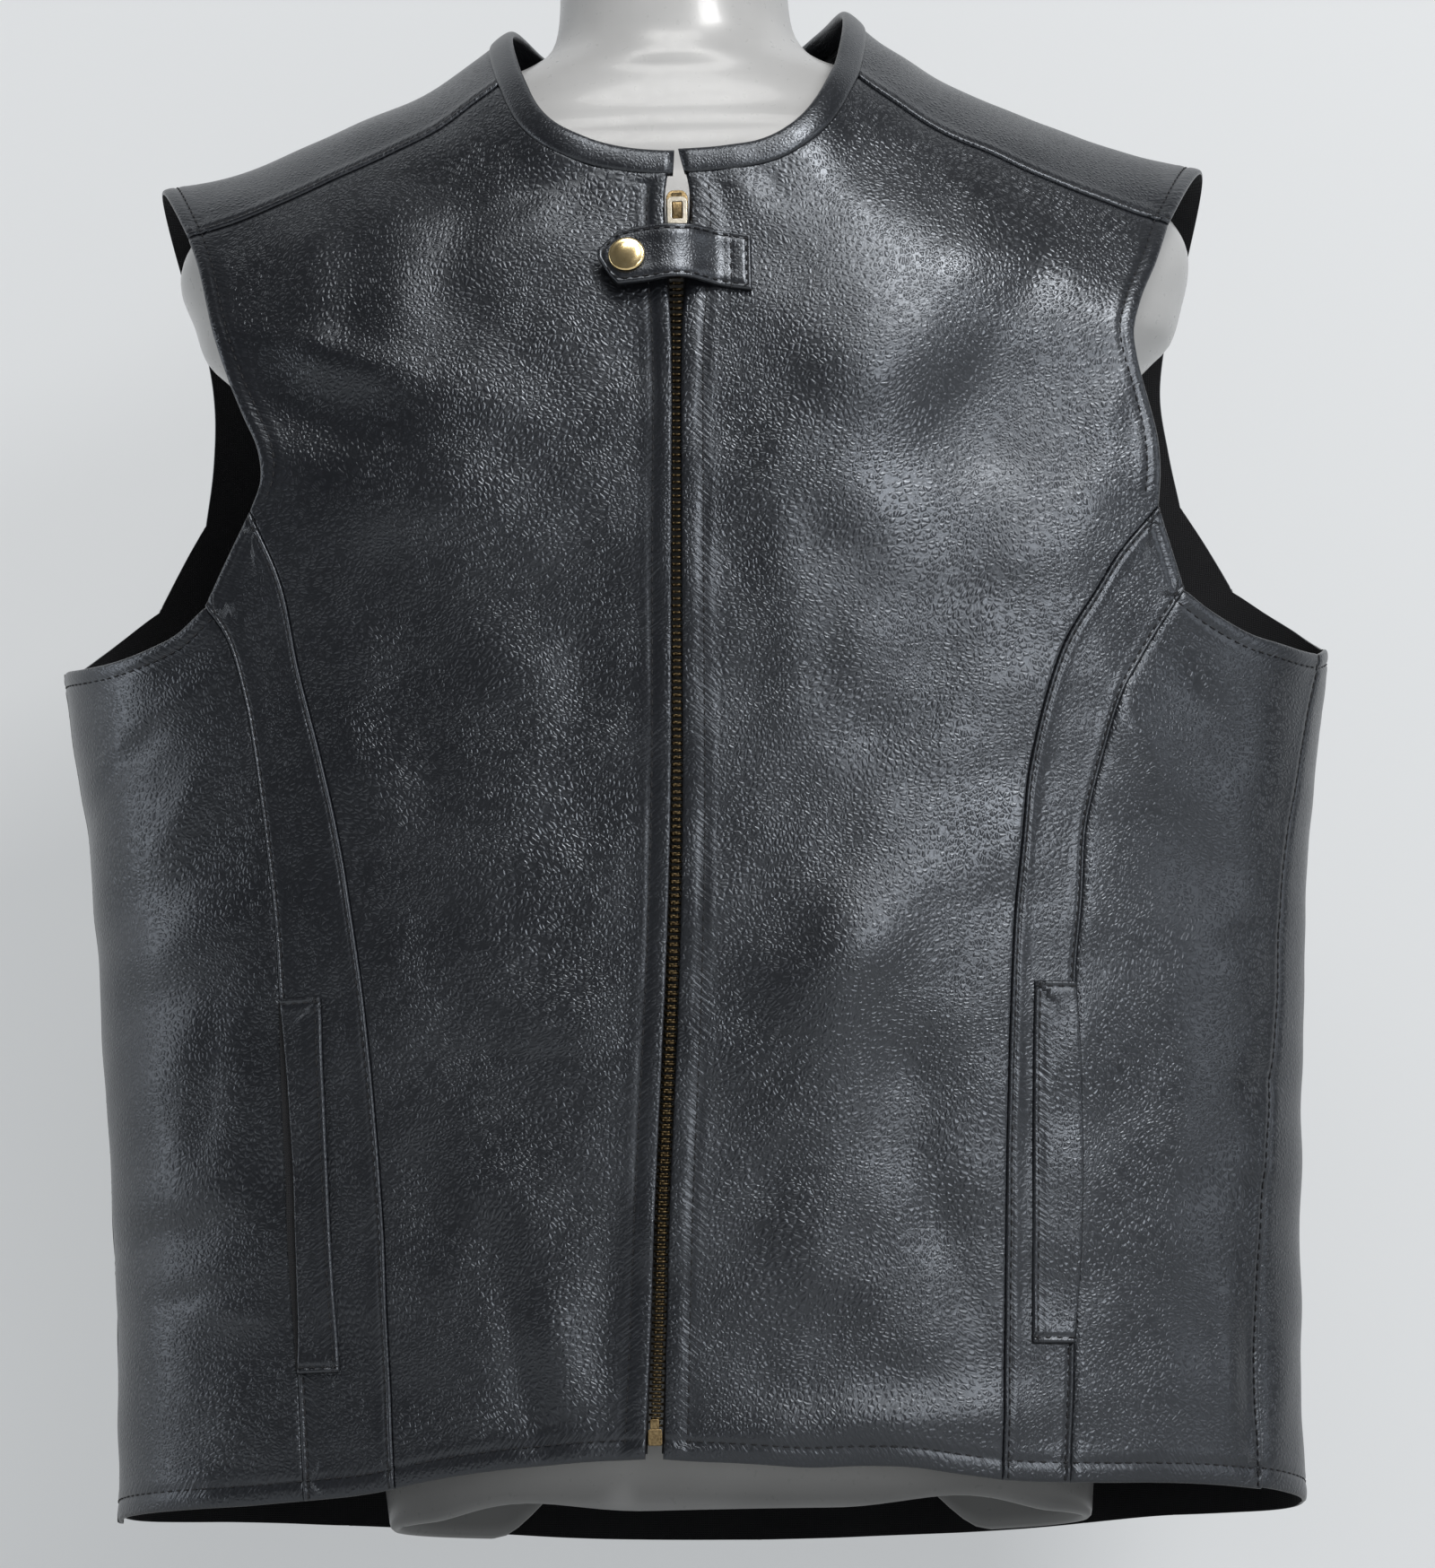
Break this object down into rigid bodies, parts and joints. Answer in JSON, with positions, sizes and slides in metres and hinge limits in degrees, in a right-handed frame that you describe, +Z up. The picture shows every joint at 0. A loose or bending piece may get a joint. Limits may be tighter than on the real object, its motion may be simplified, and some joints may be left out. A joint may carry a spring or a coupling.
{
  "type": "leather vest on a torso form",
  "caption": "Sleeveless black leather vest with a front zip and a snap tab at the neck, worn on a white torso form.",
  "frame": {"origin": "centre of the whole object's footprint, on the surface that the torso form stands on", "axes": "+Z up, -Y towards the vest's front, +X towards the wearer's left"},
  "size_m": [0.5426, 0.22, 0.702],
  "materials": {
    "leather": "pebble grain, satin",
    "zip_tape": "matte woven",
    "antique_brass": "aged, satin",
    "polished_brass": "polished",
    "form_plastic": "glossy white"
  },
  "bodies": {
    "vest": {"front_left": "leather", "front_right": "leather", "strip_front_left": "leather", "strip_front_right": "leather", "side_front_left": "leather", "side_front_right": "leather", "side_back_left": "leather", "side_back_right": "leather", "strip_back_left": "leather", "strip_back_right": "leather", "back_left": "leather", "back_right": "leather", "yoke_left": "leather", "yoke_right": "leather", "collar_binding": "leather", "zip_tape_left": "zip_tape", "zip_tape_right": "zip_tape", "zip_chain": "antique_brass", "zip_retainer_box": "antique_brass", "zip_slider": "antique_brass", "snap_tab": "leather", "snap_cap": "polished_brass", "snap_stud": "antique_brass", "pocket_welt_left": "leather", "pocket_welt_right": "leather", "torso_form": "form_plastic"},
    "pull": {"zip_pull": "antique_brass"}
  },
  "joints": [
    {"name": "zip_pull_lift", "type": "hinge", "parent": "vest", "child": "pull", "pos_m": [-0.00434, -0.09648, 0.5466], "axis": [1, 0, 0], "range_deg": [-6, 0]}
  ]
}
